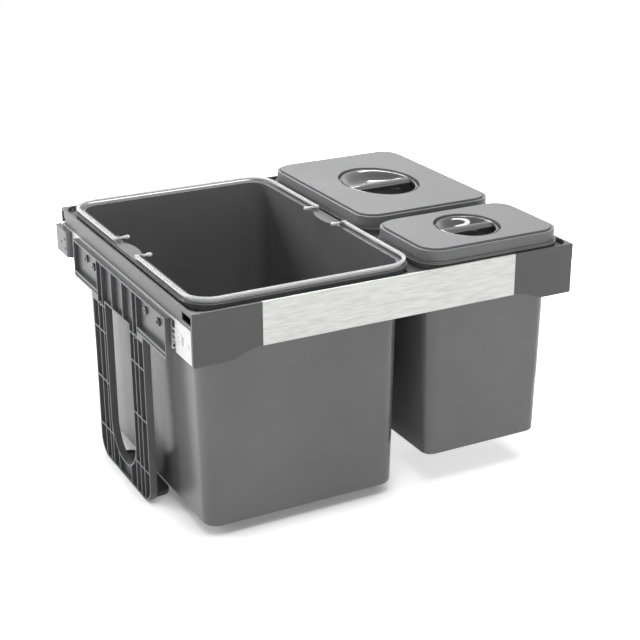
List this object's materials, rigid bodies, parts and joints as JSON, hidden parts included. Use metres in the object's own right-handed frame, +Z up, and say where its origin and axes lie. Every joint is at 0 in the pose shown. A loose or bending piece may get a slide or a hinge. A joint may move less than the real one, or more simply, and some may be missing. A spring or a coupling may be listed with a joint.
{
  "type": "pull-out bin frame",
  "caption": "Pull-out frame on ball-bearing slides that carries three lift-out waste bins, with lids on the small bins and folding bag hoops on the large one.",
  "frame": {"origin": "on the floor, under the middle of the closed assembly", "axes": "+X to the right seen from the front, +Y towards the back of the cabinet, +Z up; the frame pulls out along -Y"},
  "size_m": [0.566, 0.488, 0.3465],
  "materials": {
    "bracket_plastic": "moulded, fine grain",
    "frame_plastic": "moulded, satin",
    "bin_plastic": "moulded, satin",
    "lid_plastic": "moulded, fine grain",
    "hoop_plastic": "moulded, satin",
    "grip_gloss": "polished",
    "brushed_panel": "brushed along the panel",
    "zinc_steel": "bright zinc",
    "cage_steel": "plain sheet",
    "ball_steel": "polished",
    "screw_steel": "zinc plated",
    "rubber": "matt"
  },
  "bodies": {
    "cabinet_side": {"left_side_bracket": "bracket_plastic", "left_rear_block": "bracket_plastic", "left_outer_rail": "zinc_steel", "left_rail_screws": "screw_steel", "left_rail_bumper": "rubber", "right_side_bracket": "bracket_plastic", "right_rear_block": "bracket_plastic", "right_outer_rail": "zinc_steel", "right_rail_screws": "screw_steel", "right_rail_bumper": "rubber"},
    "carriage": {"left_inner_rail": "zinc_steel", "left_runner_screws": "screw_steel", "left_front_plate": "zinc_steel", "left_plate_screws": "screw_steel", "left_frame_side": "frame_plastic", "right_inner_rail": "zinc_steel", "right_runner_screws": "screw_steel", "right_front_plate": "zinc_steel", "right_plate_screws": "screw_steel", "right_frame_side": "frame_plastic", "front_crossbar": "frame_plastic", "rear_crossbar": "frame_plastic", "centre_divider": "frame_plastic", "small_bin_divider": "frame_plastic", "front_panel": "brushed_panel", "frame_screws": "screw_steel"},
    "left_middle": {"left_middle_rail": "zinc_steel"},
    "left_outer_cage": {"left_outer_ball_cage": "cage_steel", "left_outer_balls": "ball_steel"},
    "left_inner_cage": {"left_inner_ball_cage": "cage_steel", "left_inner_balls": "ball_steel"},
    "right_middle": {"right_middle_rail": "zinc_steel"},
    "right_outer_cage": {"right_outer_ball_cage": "cage_steel", "right_outer_balls": "ball_steel"},
    "right_inner_cage": {"right_inner_ball_cage": "cage_steel", "right_inner_balls": "ball_steel"},
    "large_bin": {"large_bin": "bin_plastic"},
    "front_small_bin": {"front_small_bin": "bin_plastic"},
    "rear_small_bin": {"rear_small_bin": "bin_plastic"},
    "front_lid": {"front_bin_lid": "lid_plastic", "front_lid_grip": "grip_gloss"},
    "rear_lid": {"rear_bin_lid": "lid_plastic", "rear_lid_grip": "grip_gloss"},
    "front_hoop": {"front_bag_hoop": "hoop_plastic"},
    "rear_hoop": {"rear_bag_hoop": "hoop_plastic"}
  },
  "joints": [
    {"name": "frame_slide", "type": "slide", "parent": "cabinet_side", "child": "carriage", "axis": [0, -1, 0], "range_m": [0, 0.41]},
    {"name": "left_middle_slide", "type": "slide", "parent": "cabinet_side", "child": "left_middle", "axis": [0, -1, 0], "range_m": [0, 0.205]},
    {"name": "left_outer_cage_slide", "type": "slide", "parent": "cabinet_side", "child": "left_outer_cage", "axis": [0, -1, 0], "range_m": [0, 0.1025]},
    {"name": "left_inner_cage_slide", "type": "slide", "parent": "cabinet_side", "child": "left_inner_cage", "axis": [0, -1, 0], "range_m": [0, 0.3075]},
    {"name": "right_middle_slide", "type": "slide", "parent": "cabinet_side", "child": "right_middle", "axis": [0, -1, 0], "range_m": [0, 0.205]},
    {"name": "right_outer_cage_slide", "type": "slide", "parent": "cabinet_side", "child": "right_outer_cage", "axis": [0, -1, 0], "range_m": [0, 0.1025]},
    {"name": "right_inner_cage_slide", "type": "slide", "parent": "cabinet_side", "child": "right_inner_cage", "axis": [0, -1, 0], "range_m": [0, 0.3075]},
    {"name": "large_bin_lift", "type": "slide", "parent": "carriage", "child": "large_bin", "axis": [0, 0, 1], "range_m": [0, 0.33]},
    {"name": "front_small_bin_lift", "type": "slide", "parent": "carriage", "child": "front_small_bin", "axis": [0, 0, 1], "range_m": [0, 0.3]},
    {"name": "rear_small_bin_lift", "type": "slide", "parent": "carriage", "child": "rear_small_bin", "axis": [0, 0, 1], "range_m": [0, 0.3]},
    {"name": "front_lid_lift", "type": "slide", "parent": "front_small_bin", "child": "front_lid", "axis": [0, 0, 1], "range_m": [0, 0.06]},
    {"name": "rear_lid_lift", "type": "slide", "parent": "rear_small_bin", "child": "rear_lid", "axis": [0, 0, 1], "range_m": [0, 0.06]},
    {"name": "front_hoop_hinge", "type": "hinge", "parent": "large_bin", "child": "front_hoop", "pos_m": [0, -0.041, 0.3335], "axis": [-1, 0, 0], "range_deg": [0, 100]},
    {"name": "rear_hoop_hinge", "type": "hinge", "parent": "large_bin", "child": "rear_hoop", "pos_m": [0, 0.044, 0.3335], "axis": [1, 0, 0], "range_deg": [0, 100]}
  ],
  "couplings": [
    {"joint": "left_middle_slide", "follows": "frame_slide", "ratio": 0.5},
    {"joint": "left_outer_cage_slide", "follows": "frame_slide", "ratio": 0.25},
    {"joint": "left_inner_cage_slide", "follows": "frame_slide", "ratio": 0.75},
    {"joint": "right_middle_slide", "follows": "frame_slide", "ratio": 0.5},
    {"joint": "right_outer_cage_slide", "follows": "frame_slide", "ratio": 0.25},
    {"joint": "right_inner_cage_slide", "follows": "frame_slide", "ratio": 0.75}
  ]
}
